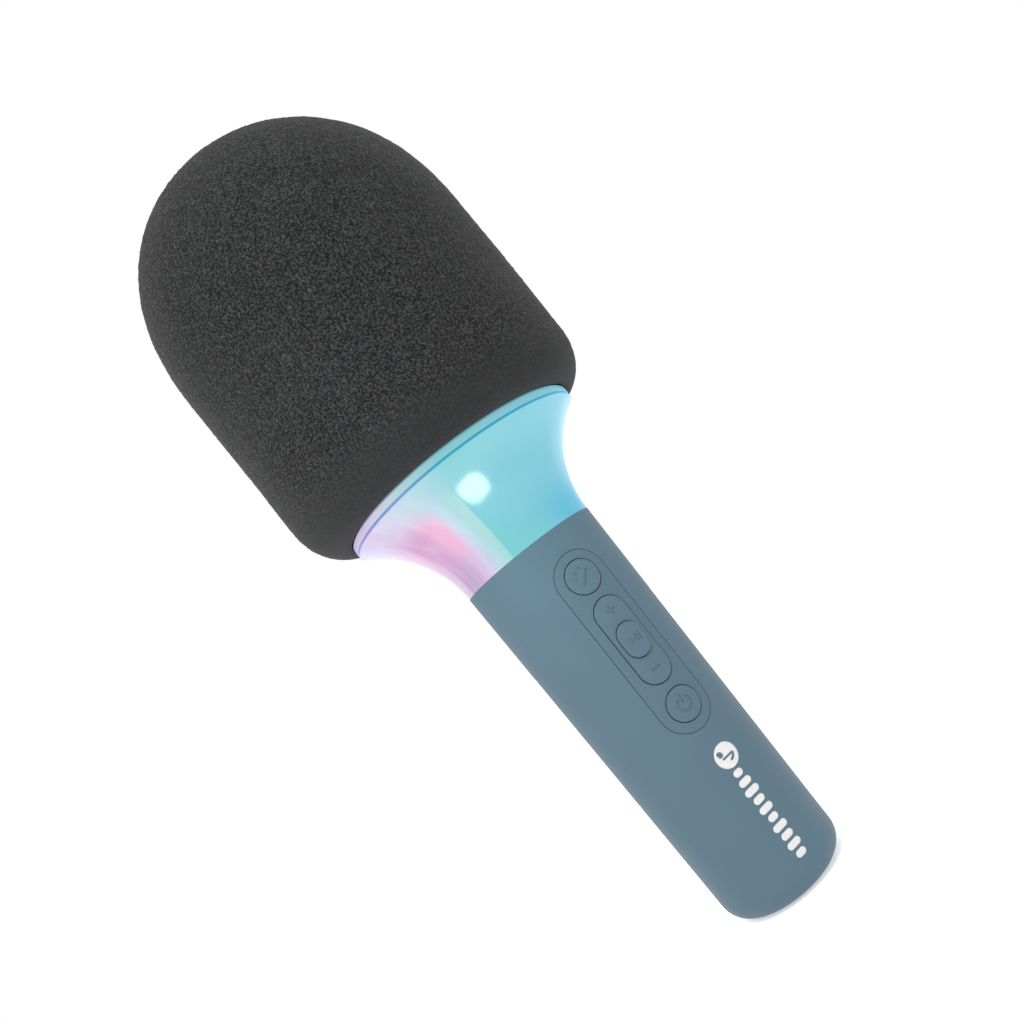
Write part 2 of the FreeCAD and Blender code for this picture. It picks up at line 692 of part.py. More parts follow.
def make_rim_ring():
    low = "Dims.grip_length + Dims.collar_height"
    label(turned("rim", [
        ("32.6", low),
        ("Dims.rim_radius - Dims.rim_groove", low),
        ("Dims.rim_radius - Dims.rim_groove", f"{low} + Dims.rim_groove"),
        ("Dims.rim_radius - 0.1", f"{low} + Dims.rim_groove"),
        ("Dims.rim_radius", f"{low} + Dims.rim_groove + 0.2"),
        ("Dims.rim_radius", f"{low} + Dims.rim_height - 0.5"),
        ("Dims.rim_radius - 0.5", f"{low} + Dims.rim_height"),
        ("32.6", f"{low} + Dims.rim_height"),
    ]), "collar_rim_ring")


# ---------------------------------------------------------------------------
# Head: base plate, basket and foam
# ---------------------------------------------------------------------------

def dome_curve(radius, start, dome, power, steps=10):
    """A smooth curve from (radius, start) to the axis: a superellipse quarter."""
    points = []
    for k in range(steps + 1):
        turn = math.pi / 2 * k / steps
        points.append(Vector(radius * math.cos(turn) ** (2 / power), 0,
                             start + dome * math.sin(turn) ** (2 / power)))
    curve = Part.BSplineCurve()
    curve.interpolate(Points=points, InitialTangent=Vector(0, 0, 1),
                      FinalTangent=Vector(-1, 0, 0))
    return curve.toShape(), points[-1]


def turn_wire(edges):
    """Turn a closed outline about Z into a solid."""
    face = Part.Face(Part.Wire(Part.__sortEdges__(edges)))
    return face.revolve(Vector(), AXES["Z"], 360)


def shell_of_dome(outer, outer_top, inner, inner_top, feet):
    """A dome shell from two meridian curves; feet are the outline's points below them."""
    edges = [outer, inner, Part.makeLine(outer_top, inner_top)]
    for first, second in zip(feet, feet[1:]):
        edges.append(Part.makeLine(first, second))
    return edges


def make_head_base():
    label(turned("base_plate", [
        ("21", "Dims.head_base_height"),
        ("Dims.basket_radius - 0.2", "Dims.head_base_height"),
        ("Dims.basket_radius - 0.2", "Dims.head_base_height + Dims.head_base_thickness"),
        ("21", "Dims.head_base_height + Dims.head_base_thickness"),
    ]), "head_base")


def make_head_basket():
    low = D["head_base_height"] + D["head_base_thickness"]
    start = D["basket_shoulder"]
    inside = D["basket_radius"] - D["basket_wall"]
    outer, outer_top = dome_curve(D["basket_radius"], start, D["basket_dome"], D["foam_power"])
    inner, inner_top = dome_curve(inside, start, D["basket_dome"] - D["basket_wall"],
                                  D["foam_power"])
    feet = [Vector(D["basket_radius"], 0, start), Vector(D["basket_radius"], 0, low),
            Vector(inside, 0, low), Vector(inside, 0, start)]
    shell = doc.addObject("Part::Feature", "basket_shell")
    shell.Shape = turn_wire(shell_of_dome(outer, outer_top, inner, inner_top, feet))
    bars = []
    for k in range(6):
        bar = doc.addObject("Part::Box", f"basket_rib{k}")
        bind(bar, Length="2 * Dims.basket_radius + 4", Width="Dims.rib_width", Height="110")
        turn = f"{30 * k + 15}deg"
        place(bar,
              f"-(Dims.basket_radius + 2) * cos({turn}) + Dims.rib_width / 2 * sin({turn})",
              f"-(Dims.basket_radius + 2) * sin({turn}) - Dims.rib_width / 2 * cos({turn})",
              "Dims.head_base_height", ("Z", 30 * k + 15))
        bars.append(bar)
    for k, height in enumerate((144.0, 164.0, 184.0, 204.0, 221.0)):
        bars.append(rod(f"basket_hoop{k}", "Dims.basket_radius + 2", "3.0",
                        z=str(height)))
    label(common("basket", shell, fuse("basket_bars", bars)), "head_basket")


def make_foam_windscreen():
    low = D["foam_bottom"]
    start = D["foam_shoulder"]
    thickness = D["foam_radius"] - D["foam_mouth"]
    outer, outer_top = dome_curve(D["foam_radius"], start, D["foam_dome"], D["foam_power"])
    inner, inner_top = dome_curve(D["foam_mouth"], D["basket_shoulder"],
                                  start + D["foam_dome"] - thickness - D["basket_shoulder"],
                                  D["foam_power"])
    corner = [Vector(D["foam_edge"] + (D["foam_radius"] - D["foam_edge"]) * math.sin(turn), 0,
                     low + D["foam_corner"] * (1 - math.cos(turn)))
              for turn in (math.pi / 2 * k / 6 for k in range(7))]
    corner_curve = Part.BSplineCurve()
    corner_curve.interpolate(Points=corner, InitialTangent=AXES["X"], FinalTangent=AXES["Z"])
    edges = [outer, inner, Part.makeLine(outer_top, inner_top), corner_curve.toShape(),
             Part.makeLine(corner[-1], Vector(D["foam_radius"], 0, start)),
             Part.makeLine(Vector(D["foam_mouth"], 0, low), corner[0]),
             Part.makeLine(Vector(D["foam_mouth"], 0, low),
                           Vector(D["foam_mouth"], 0, D["basket_shoulder"]))]
    foam = doc.addObject("Part::Feature", "foam")
    foam.Shape = turn_wire(edges)
    label(foam, "foam_windscreen")


# ---------------------------------------------------------------------------
# Speaker on its bracket
# ---------------------------------------------------------------------------

def quarter_places(radius, first):
    """Four (x, y) expressions around the axis, the first at an angle in degrees."""
    return [(f"{radius} * cos({first + 90 * k}deg)", f"{radius} * sin({first + 90 * k}deg)")
            for k in range(4)]


def make_speaker():
    flange = "Dims.speaker_height"
    ring = turned("bracket_ring", [
        ("26.0", f"{flange} - 2"), ("Dims.speaker_radius + 0.5", f"{flange} - 2"),
        ("Dims.speaker_radius + 0.5", flange), ("26.0", flange)])
    legs = [rod(f"bracket_leg{k}", "2.0", f"{flange} - 1 - Dims.head_base_height - Dims.head_base_thickness",
                x=x, y=y, z="Dims.head_base_height + Dims.head_base_thickness")
            for k, (x, y) in enumerate(quarter_places("Dims.speaker_screw_circle", 0))]
    places = quarter_places("Dims.speaker_screw_circle", 45)
    bracket_holes = [rod(f"bracket_hole{k}", "Dims.screw_radius", "4", x=x, y=y, z=f"{flange} - 3")
                     for k, (x, y) in enumerate(places)]
    label(cut("bracket", fuse("bracket_blank", [ring] + legs), *bracket_holes), "speaker_bracket")
    pressing = turned("frame_pressing", [
        ("Dims.speaker_radius", flange), ("Dims.speaker_radius", f"{flange} + 1"),
        ("23.5", f"{flange} + 1"), ("14.6", f"{flange} - 11"), ("6.2", f"{flange} - 11"),
        ("6.2", f"{flange} - 12"), ("15.2", f"{flange} - 12"), ("24.2", flange)])
    frame_holes = [rod(f"frame_hole{k}", "Dims.screw_radius", "3", x=x, y=y, z=f"{flange} - 1")
                   for k, (x, y) in enumerate(places)]
    label(cut("frame", pressing, *frame_holes), "speaker_frame")
    label(turned("magnet", [
        ("0", f"{flange} - 21"), ("Dims.magnet_radius", f"{flange} - 21"),
        ("Dims.magnet_radius", f"{flange} - 12"), ("5.6", f"{flange} - 12"),
        ("5.6", f"{flange} - 9.5"), ("0", f"{flange} - 9.5")]), "speaker_magnet")
    label(turned("cone", [
        ("6.6", f"{flange} - 10.2"), ("7.5", f"{flange} - 10.2"),
        ("22.4", f"{flange} + 1.2"), ("22.0", f"{flange} + 1.7")]), "speaker_cone")
    label(turned("surround", [
        ("23.4", f"{flange} + 1"), ("27.0", f"{flange} + 1"), ("27.0", f"{flange} + 1.8"),
        ("26.3", f"{flange} + 2.6"), ("25.0", f"{flange} + 3.2"), ("23.6", f"{flange} + 2.8"),
        ("22.6", f"{flange} + 1.9")]), "speaker_surround")
    label(turned("dust_cap", [
        ("0", f"{flange} - 6.0"), ("4.0", f"{flange} - 6.8"), ("7.0", f"{flange} - 9.2"),
        ("7.6", f"{flange} - 9.2"), ("4.4", f"{flange} - 6.2"),
        ("0", f"{flange} - 5.4")]), "speaker_dust_cap")
    screws = []
    for k, (x, y) in enumerate(places):
        head = rod(f"speaker_screw_head{k}", "1.6", "1.2", x=x, y=y, z=f"{flange} + 1")
        shank = rod(f"speaker_screw_shank{k}", "Dims.screw_radius", "4", x=x, y=y,
                    z=f"{flange} - 3")
        slot = box(f"speaker_screw_slot{k}", (f"({x}) - 1.2", f"({x}) + 1.2"),
                   (f"({y}) - 0.2", f"({y}) + 0.2"), (f"{flange} + 1.7", f"{flange} + 3"))
        screws.append(cut(f"speaker_screw{k}", fuse(f"speaker_screw_blank{k}", [head, shank]), slot))
    label(group("speaker_screw_set", screws), "speaker_screws")


# ---------------------------------------------------------------------------
# Microphone capsule on its bridge over the speaker
# ---------------------------------------------------------------------------

def make_capsule():
    low = "Dims.bridge_height"
    pieces = [
        box("bridge_bar", ("-30.2", "30.2"), ("-3", "3"), (low, f"{low} + 2")),
        rod("bridge_cup", "Dims.capsule_radius + Dims.boot_wall + 1.6", "8", z=low),
    ]
    for k, side in enumerate((-1, 1)):
        pieces.append(rod(f"bridge_post{k}", "1.5", f"{low} + 1 - Dims.speaker_height - 1",
                          x=f"{side} * 28.7", z="Dims.speaker_height + 1"))
    well = rod("bridge_well", "Dims.capsule_radius + Dims.boot_wall", "10", z=f"{low} + 2")
    label(cut("bridge", fuse("bridge_blank", pieces), well), "capsule_bridge")
    boot = rod("boot_blank", "Dims.capsule_radius + Dims.boot_wall", "8", z=f"{low} + 2")
    boot_well = rod("boot_well", "Dims.capsule_radius", "10", z=f"{low} + 3.2")
    label(cut("boot", boot, boot_well), "capsule_boot")
    label(rod("capsule", "Dims.capsule_radius", "6.7", z=f"{low} + 3.4"), "mic_capsule")


# ---------------------------------------------------------------------------
# Insulated leads: straight runs joined by tangent arcs
# ---------------------------------------------------------------------------

def lead(name, route):
    """A round lead through a list of points, each bend an arc inside its point."""
    points = [Vector(*point) for point in route]
    edges = []
    start = points[0]
    for before, corner, after in zip(points, points[1:], points[2:]):
        toward = (corner - before).normalize()
        away = (after - corner).normalize()
        turn = toward.getAngle(away)
        reach = 0.45 * min((corner - before).Length, (after - corner).Length)
        radius = reach / math.tan(turn / 2)
        print(f"{name}: bend radius {radius:.1f}")
        first = corner - toward * reach
        last = corner + away * reach
        inward = (away - toward).normalize()
        middle = corner + inward * (radius / math.cos(turn / 2) - radius)
        edges.append(Part.makeLine(start, first))
        edges.append(Part.Arc(first, middle, last).toShape())
        start = last
    edges.append(Part.makeLine(start, points[-1]))
    path = Part.Wire(edges)
    toward = (points[1] - points[0]).normalize()
    section = Part.Wire([Part.Circle(points[0], toward, D["lead_radius"]).toShape()])
    solid = path.makePipeShell([section], True, False)
    expected = math.pi * D["lead_radius"] ** 2 * path.Length
    print(f"{name}: volume ratio {solid.Volume / expected:.4f}")
    item = doc.addObject("Part::Feature", name)
    item.Shape = solid
    return item


def shifted(route, x=0, y=0):
    """The same route moved sideways."""
    return [(px + x, py + y, pz) for px, py, pz in route]


def make_leads():
    speaker = [(-14.2, 1.6, 158.0), (-14.2, 1.6, 150.5), (-12.9, 0.4, 142.5),
               (-9.8, -1.8, 134.0), (-6.6, -4.8, 124.0), (-5.2, -7.0, 115.0),
               (-4.6, -7.8, 106.2)]
    label(group("speaker_lead_pair", [lead("speaker_lead_a", speaker),
                                      lead("speaker_lead_b", shifted(speaker, y=-2.9)[:4]
                                           + [(-4.4, -6.4, 124.0), (-2.6, -7.4, 115.0),
                                              (-2.2, -7.8, 106.2)])]), "speaker_leads")
    down_the_side = [(0.0, 203.5), (0.0, 195.5), (9.5, 188.5), (20.5, 184.0), (28.6, 178.0),
                     (32.2, 169.0), (32.2, 159.0), (27.5, 150.5), (18.5, 147.0), (13.5, 139.0),
                     (10.5, 129.5), (9.0, 119.5)]
    angle = math.radians(-22.5)
    capsule = [(r * math.cos(angle), r * math.sin(angle), z) for r, z in down_the_side]
    capsule += [(7.2, -6.9, 112.5), (6.4, -7.8, 106.2)]
    label(lead("capsule_lead", capsule), "mic_lead")
    plus = [(-1.5, 4.0, 91.15), (-1.5, -1.5, 91.3), (-1.5, -7.0, 91.3)]
    minus = [(1.5, 3.5, 23.05), (1.5, -2.0, 22.85), (1.5, -7.0, 22.85)]
    label(group("battery_lead_pair", [lead("battery_lead_plus", plus),
                                      lead("battery_lead_minus", minus)]), "battery_leads")
    charge = [(-3.0, 1.63, 12.5), (-3.0, -2.2, 12.5), (-3.0, -6.0, 14.8), (-3.0, -7.8, 18.4),
              (-3.0, -7.8, 22.0)]
    label(group("charge_lead_pair", [lead("charge_lead_a", charge),
                                     lead("charge_lead_b", shifted(charge, x=6))]),
          "charge_leads")


# ---------------------------------------------------------------------------
# Build, check and write every sub-part
# ---------------------------------------------------------------------------

make_handle_shell()
make_control_panel()
make_effects_button()
make_power_button()
make_play_button()
make_volume_rocker()
make_switches()
make_plungers()
make_main_board()
make_board_parts()
make_board_screws()
make_inner_chassis()
make_battery()
make_charging()
make_neck()
make_light_collar()
make_rim_ring()
make_head_base()
make_head_basket()
make_foam_windscreen()
make_speaker()
make_capsule()
make_leads()
doc.recompute()

for item in doc.Objects:
    if "Invalid" in item.State or "Error" in item.State:
        raise RuntimeError(f"{item.Name} failed: {item.State}")

os.makedirs("parts", exist_ok=True)
for item in SUBPARTS:
    shape = item.Shape
    if shape.isNull() or not shape.isValid():
        raise RuntimeError(f"{item.Label} has no valid shape")
    shape.exportStep(f"parts/{item.Label}.step")
    print(f"{item.Label}: {len(shape.Solids)} solid(s), {shape.Volume:.0f} mm3")
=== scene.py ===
# %% [markdown]
# # A toy karaoke microphone
# The model is a moulded grip with rubbery keys, a glowing flared collar and a
# foam windscreen. The solid pieces come from the design frame, already in
# place, in metres, with +Z up the axis and the keys on the -Y side. This
# lesson gives each of them a finish, grows the foam as a new surface, and
# prints a small motif on the grip.

# %% Load the frame
import json
import math

import bpy
import numpy as np
from mathutils import Matrix, Vector


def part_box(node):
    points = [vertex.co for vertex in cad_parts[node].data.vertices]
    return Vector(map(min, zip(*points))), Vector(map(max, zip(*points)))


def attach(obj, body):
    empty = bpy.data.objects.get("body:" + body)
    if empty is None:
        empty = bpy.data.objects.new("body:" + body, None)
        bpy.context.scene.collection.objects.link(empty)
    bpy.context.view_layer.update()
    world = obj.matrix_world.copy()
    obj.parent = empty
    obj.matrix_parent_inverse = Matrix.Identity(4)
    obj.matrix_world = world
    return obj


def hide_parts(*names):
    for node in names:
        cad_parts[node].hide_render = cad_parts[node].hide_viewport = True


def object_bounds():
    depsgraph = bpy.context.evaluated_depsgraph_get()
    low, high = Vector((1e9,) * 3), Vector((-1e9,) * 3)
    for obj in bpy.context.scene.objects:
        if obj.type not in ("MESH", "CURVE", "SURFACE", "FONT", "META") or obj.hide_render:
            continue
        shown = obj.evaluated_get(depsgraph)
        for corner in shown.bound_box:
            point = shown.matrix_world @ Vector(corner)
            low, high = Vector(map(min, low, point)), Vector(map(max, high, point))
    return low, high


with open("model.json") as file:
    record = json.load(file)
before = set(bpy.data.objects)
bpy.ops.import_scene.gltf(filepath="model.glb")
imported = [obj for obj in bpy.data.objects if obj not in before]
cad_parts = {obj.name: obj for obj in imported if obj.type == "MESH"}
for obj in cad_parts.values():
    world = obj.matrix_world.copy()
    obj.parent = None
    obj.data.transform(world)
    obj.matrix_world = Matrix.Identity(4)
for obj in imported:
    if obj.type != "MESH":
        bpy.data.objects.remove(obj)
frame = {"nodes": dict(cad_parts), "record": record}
cad_low, cad_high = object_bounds()
MM = 0.001
print("nodes:", len(frame["nodes"]), "height in mm:", round(cad_high.z / MM, 1))

# %% [markdown]
# ## Shader maths as expressions
# A finish is a small network of nodes. Wiring it by hand hides the idea, so a
# Field wraps one socket and lets Python's operators add the Math nodes: with
# `grain` and `wear` as fields, `1 - grain * wear` is three nodes. Every other
# kind of node comes from Finish.node.


# %% A socket that understands arithmetic
class Field:
    """A value that varies over a surface: one output socket of a finish."""

    def __init__(self, finish, socket):
        self.finish = finish
        self.socket = socket

    def maths(self, operation, first, second=None):
        inputs = {0: first} if second is None else {0: first, 1: second}
        return self.finish.node("ShaderNodeMath", {"operation": operation}, inputs)

    def __add__(self, other):
        return self.maths("ADD", self, other)

    def __sub__(self, other):
        return self.maths("SUBTRACT", self, other)

    def __rsub__(self, other):
        return self.maths("SUBTRACT", other, self)

    def __mul__(self, other):
        return self.maths("MULTIPLY", self, other)

    def __truediv__(self, other):
        return self.maths("DIVIDE", self, other)

    __radd__ = __add__
    __rmul__ = __mul__


class Finish:
    """One material: its node tree, its shader and the nodes that feed it."""

    def __init__(self, name, **constants):
        self.material = bpy.data.materials.new(name)
        self.material.use_nodes = True
        self.tree = self.material.node_tree
        self.shader = self.tree.nodes["Principled BSDF"]
        for socket, value in constants.items():
            self.shader.inputs[socket.replace("_", " ")].default_value = value

    def node(self, kind, settings=None, inputs=None, output=0):
        """Add a node, set it up, then feed its sockets with values or fields."""
        node = self.tree.nodes.new(kind)
        for name, value in (settings or {}).items():
            if name == "stops":
                set_stops(node.color_ramp, value)
            else:
                setattr(node, name, value)
        for name, value in (inputs or {}).items():
            self.connect(node.inputs[name], value)
        return Field(self, node.outputs[output])

    def connect(self, socket, value):
        if isinstance(value, Field):
            self.tree.links.new(value.socket, socket)
        else:
            socket.default_value = value

    def feed(self, **fields):
        """Join fields to the shader's sockets."""
        for name, value in fields.items():
            self.connect(self.shader.inputs[name.replace("_", " ")], value)

    def place(self):
        """Where a point is on the piece, in metres, as x, y and z fields."""
        spot = self.node("ShaderNodeTexCoord", output="Object")
        return [self.node("ShaderNodeSeparateXYZ", inputs={0: spot}, output=k)
                for k in range(3)]

    def noise(self, size, detail=2.0, roughness=0.5, stretch=None):
        """Cloudy noise whose lumps are about `size` metres across, from 0 to 1."""
        spot = self.node("ShaderNodeTexCoord", output="Object")
        if stretch:
            spot = self.node("ShaderNodeMapping", inputs={0: spot, "Scale": stretch})
        return self.node("ShaderNodeTexNoise", inputs={
            "Vector": spot, "Scale": 1.0 / size, "Detail": detail, "Roughness": roughness})

    def cells(self, size, feature="F1"):
        """Voronoi cells about `size` metres across."""
        spot = self.node("ShaderNodeTexCoord", output="Object")
        return self.node("ShaderNodeTexVoronoi", {"feature": feature}, {
            "Vector": spot, "Scale": 1.0 / size}, output="Distance")

    def ramp(self, field, stops):
        """Turn a field into colours or greys through a list of (position, colour)."""
        return self.node("ShaderNodeValToRGB", {"stops": stops}, {0: field})

    def mix(self, factor, first, second):
        """Blend two colours."""
        return self.node("ShaderNodeMix", {"data_type": "RGBA"},
                         {"Factor": factor, 6: first, 7: second}, output=2)

    def bump(self, height, strength, depth):
        """Turn a height field into a normal; depth is its full height in metres."""
        return self.node("ShaderNodeBump", inputs={
            "Height": height, "Strength": strength, "Distance": depth})


def set_stops(ramp, stops):
    """Give a colour ramp its stops, each a position and a grey or a colour."""
    while len(ramp.elements) < len(stops):
        ramp.elements.new(0.5)
    for element, (position, value) in zip(ramp.elements, stops):
        element.position = position
        element.color = colour(value)


def colour(value):
    """A grey number or an (r, g, b) in linear light, as four numbers."""
    if isinstance(value, (int, float)):
        return (value, value, value, 1.0)
    return (*value, 1.0)


def wear(node_name, finish):
    """Put a finish on a design node."""
    thing = frame["nodes"][node_name]
    thing.data.materials.clear()
    thing.data.materials.append(finish.material)


print("helpers ready")

# %% [markdown]
# ## Camera, floor and light
# The microphone is held slantwise before the lens: the camera looks level at
# it from a quarter of a metre and is rolled until the head points up and to
# the left. A short distance makes the near rims bulge, so it matters as much
# as the angle. The frame is shifted because the microphone sits a little off
# the axis of view.

# %% Camera
AXIS_TURN = math.radians(24.5)
ROLL = math.radians(38.8)
AIM = Vector((0, 0, 113.8)) * MM
LEFT_OF_VIEW = 16.9 * MM
BELOW_VIEW = 22.0 * MM
VIEW_DISTANCE = 250.0 * MM

across = Vector((math.cos(AXIS_TURN), -math.sin(AXIS_TURN), 0))
toward = Vector((-math.sin(AXIS_TURN), -math.cos(AXIS_TURN), 0))
upward = Vector((0, 0, 1))

camera_data = bpy.data.cameras.new("view")
camera_data.sensor_width = 36.0
camera_data.lens = 32.22
camera_data.shift_x = -0.1135
camera_data.shift_y = 0.0651
camera_data.clip_start = 0.01
camera = bpy.data.objects.new("view", camera_data)
bpy.context.scene.collection.objects.link(camera)
right = math.cos(ROLL) * across - math.sin(ROLL) * upward
above = math.sin(ROLL) * across + math.cos(ROLL) * upward
spot = AIM + LEFT_OF_VIEW * across - BELOW_VIEW * upward + VIEW_DISTANCE * toward
turn = Matrix((right, above, toward)).transposed()
camera.matrix_world = Matrix.Translation(spot) @ turn.to_4x4()
bpy.context.scene.camera = camera
bpy.context.scene.view_settings.view_transform = "Standard"
print("camera at, in mm:", [round(c / MM, 1) for c in spot])


# %% Floor and sky
def flat_disc(name, radius, height):
    """A round floor of one ring of corners: (r cos a, r sin a, height)."""
    angle = np.linspace(0, 2 * math.pi, 96, endpoint=False)
    ring = np.column_stack([radius * np.cos(angle), radius * np.sin(angle),
                            np.full_like(angle, height)])
    mesh = bpy.data.meshes.new(name)
    mesh.from_pydata(ring.tolist(), [], [list(range(len(ring)))])
    disc = bpy.data.objects.new(name, mesh)
    bpy.context.scene.collection.objects.link(disc)
    return disc


FLOOR_RADIUS = 4.0
FLOOR_GAP = 0.2 * MM
floor = flat_disc("studio_floor", FLOOR_RADIUS, cad_low.z - FLOOR_GAP)
pale = Finish("pale_floor", Roughness=0.9, Emission_Strength=0.42)
pale.shader.inputs["Emission Color"].default_value = (1, 1, 1, 1)
pale.feed(Base_Color=pale.ramp(pale.noise(0.6, 3.0), [(0.3, 0.92), (0.7, 0.95)]))
floor.data.materials.append(pale.material)

world = bpy.data.worlds.new("studio")
bpy.context.scene.world = world
world.use_nodes = True
world.node_tree.nodes["Background"].inputs["Color"].default_value = (1, 1, 1, 1)
world.node_tree.nodes["Background"].inputs["Strength"].default_value = 1.0
print("floor and sky ready")


# %% Soft boxes
def soft_box(name, target, direction, distance, size, power):
    """A square lamp on a line from its target, facing it."""
    lamp = bpy.data.lights.new(name, "AREA")
    lamp.size = size
    lamp.energy = power
    holder = bpy.data.objects.new(name, lamp)
    bpy.context.scene.collection.objects.link(holder)
    direction = direction.normalized()
    holder.matrix_world = (Matrix.Translation(target + direction * distance)
                           @ direction.to_track_quat("Z", "Y").to_matrix().to_4x4())
    return holder


soft_box("key_box", AIM, toward - 0.1 * across + 1.1 * upward, 0.6, 0.3, 2.6)
soft_box("fill_box", AIM, toward + 1.4 * across + 0.2 * upward, 1.1, 0.6, 0.6)
NECK = Vector((0, 0, 104)) * MM
soft_box("neck_box", NECK, toward - 0.8 * across + 0.25 * upward, 0.13, 0.08, 0.04)
print("lamps ready")

# %% [markdown]
# ## A small card for the collar
# A glossy flare shows a window or lamp as one crisp patch. The place of the
# lamp follows from the mirror rule: the line of sight to the patch is
# reflected about the surface's normal, and the lamp stands on that line. On
# the lower half of the flare the normal looks down, so the card is low in
# front of the grip. It is told to make highlights only.

# %% Highlight card
collar_low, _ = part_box("light_collar")
FLARE_RADIUS = 30.6 * MM
FLARE_CENTRE = 50.9 * MM
PATCH_HEIGHT = 132.6 * MM
PATCH_TURN = math.radians(3.2)
CARD_DISTANCE = 100 * MM
CARD_SIZE = (54 * MM, 42 * MM)
CARD_POWER = 0.50

rise = PATCH_HEIGHT - collar_low.z
reach = FLARE_CENTRE - math.sqrt(FLARE_RADIUS ** 2 - rise ** 2)
ahead = math.cos(PATCH_TURN) * toward + math.sin(PATCH_TURN) * across
patch = reach * ahead + PATCH_HEIGHT * upward
normal = ((FLARE_CENTRE - reach) * ahead - rise * upward).normalized()
sight = (spot - patch).normalized()
bounce = 2 * normal.dot(sight) * normal - sight
card = soft_box("highlight_card", patch, bounce, CARD_DISTANCE, CARD_SIZE[0], CARD_POWER)
card.data.shape = "ELLIPSE"
card.data.size_y = CARD_SIZE[1]
card.visible_diffuse = False
only_collar = bpy.data.collections.new("glossy_only")
for glossy in ("light_collar", "collar_rim_ring"):
    only_collar.objects.link(frame["nodes"][glossy])
card.light_linking.receiver_collection = only_collar
print("card at, in mm:", [round(c / MM, 1) for c in card.matrix_world.translation])

# %% [markdown]
# ## The foam windscreen
# Windscreens are cut from open-cell foam: a cap nearly a centimetre thick with
# a rough skin of tiny pores. Its outline is one closed profile turned about
# the axis: over the dome, down the side, round the rolled lip, up the inside.
# The solid that stood for it is replaced, because a turned solid is far too
# smooth. Every point is then pushed along its normal by broad soft waves and
# by a fine random grain.

# %% Foam outline
foam_low, foam_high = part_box("foam_windscreen")
FOAM_RADIUS = (foam_high.x - foam_low.x) / 2
BOTTOM = foam_low.z
TOP = foam_high.z
MOUTH = 35.4 * MM
LIP = 36.3 * MM
HEM = BOTTOM - 0.55 * MM
LIP_HEIGHT = 12.7 * MM
SHOULDER = 197.5 * MM
INNER_SHOULDER = 192.0 * MM
INNER_TOP = TOP - (FOAM_RADIUS - MOUTH)
FULLNESS = 2.22
OUTSIDE_ROWS = 200


def quarter(count):
    """Angles from 0 to a quarter turn."""
    return np.linspace(0, math.pi / 2, count)


def dome(radius, start, top, count):
    """A superellipse quarter: r = R cos(a)^(2/n), z = start + H sin(a)^(2/n)."""
    angle = quarter(count)
    return np.column_stack([radius * np.cos(angle).clip(0) ** (2 / FULLNESS),
                            start + (top - start) * np.sin(angle) ** (2 / FULLNESS)])


def even_steps(outline, count):
    """The same outline with its points spread evenly along it."""
    step = np.hypot(*np.diff(outline, axis=0).T)
    along = np.concatenate([[0], np.cumsum(step)])
    even = np.linspace(0, along[-1], count)
    return np.column_stack([np.interp(even, along, outline[:, k]) for k in range(2)])


def foam_outline():
    """(radius, height) points from the outer crown, round the lip, to the inner crown."""
    outer = dome(FOAM_RADIUS, SHOULDER, TOP, 200)[::-1]
    angle = quarter(40)[::-1]
    lip = np.column_stack([LIP + (FOAM_RADIUS - LIP) * np.sin(angle),
                           HEM + LIP_HEIGHT * (1 - np.cos(angle))])
    outside = even_steps(np.vstack([outer, lip]), OUTSIDE_ROWS)
    inner = dome(MOUTH, INNER_SHOULDER, INNER_TOP, 60)
    inside = even_steps(np.vstack([[(MOUTH, BOTTOM + 1.2 * MM)], inner]), 36)
    rolled = np.array([[LIP - 0.3 * MM, HEM + 0.05 * MM], [LIP - 0.35 * MM, HEM + 0.6 * MM],
                       [MOUTH + 0.2 * MM, BOTTOM + 0.3 * MM]])
    return np.vstack([outside, rolled, inside])


print("foam outline points:", len(foam_outline()))


# %% Turned surfaces
def turned_grid(outline, around):
    """Points (r cos a, r sin a, z) of an outline turned about Z, as (rows, around, 3)."""
    angle = np.linspace(0, 2 * math.pi, around, endpoint=False)
    radius, height = outline[:, :1], outline[:, 1:]
    return np.stack([radius * np.cos(angle), radius * np.sin(angle),
                     np.broadcast_to(height, (len(outline), around))], axis=2)


def closed_tube_faces(rows, around):
    """Four-sided faces between neighbouring rows of a grid that closes on itself."""
    row, column = np.mgrid[0:rows - 1, 0:around]
    first = row * around + column
    second = row * around + (column + 1) % around
    return np.stack([first, first + around, second + around, second], axis=2).reshape(-1, 4)


def facing_out(points, faces):
    """Reverse every face if the signed volume, the sum of a.(b x c)/6, is negative."""
    corners = points[faces]
    fan = np.concatenate([corners[:, [0, k, k + 1]] for k in range(1, faces.shape[1] - 1)])
    volume = np.einsum("ij,ij->i", fan[:, 0], np.cross(fan[:, 1], fan[:, 2])).sum()
    return faces if volume > 0 else faces[:, ::-1]


def mesh_piece(name, points, quads, triangles):
    """Put whole arrays of points and faces into a new object, facing outwards."""
    both = np.vstack([quads, np.column_stack([triangles, triangles[:, 2]])])
    turned_right = facing_out(points, both) is both
    order = slice(None) if turned_right else slice(None, None, -1)
    mesh = bpy.data.meshes.new(name)
    mesh.from_pydata(points.tolist(), [], quads[:, order].tolist() + triangles[:, order].tolist())
    mesh.polygons.foreach_set("use_smooth", np.ones(len(mesh.polygons), dtype=bool))
    mesh.update()
    piece = bpy.data.objects.new(name, mesh)
    bpy.context.scene.collection.objects.link(piece)
    print(name, "points:", len(points), "faces:", len(mesh.polygons))
    return piece


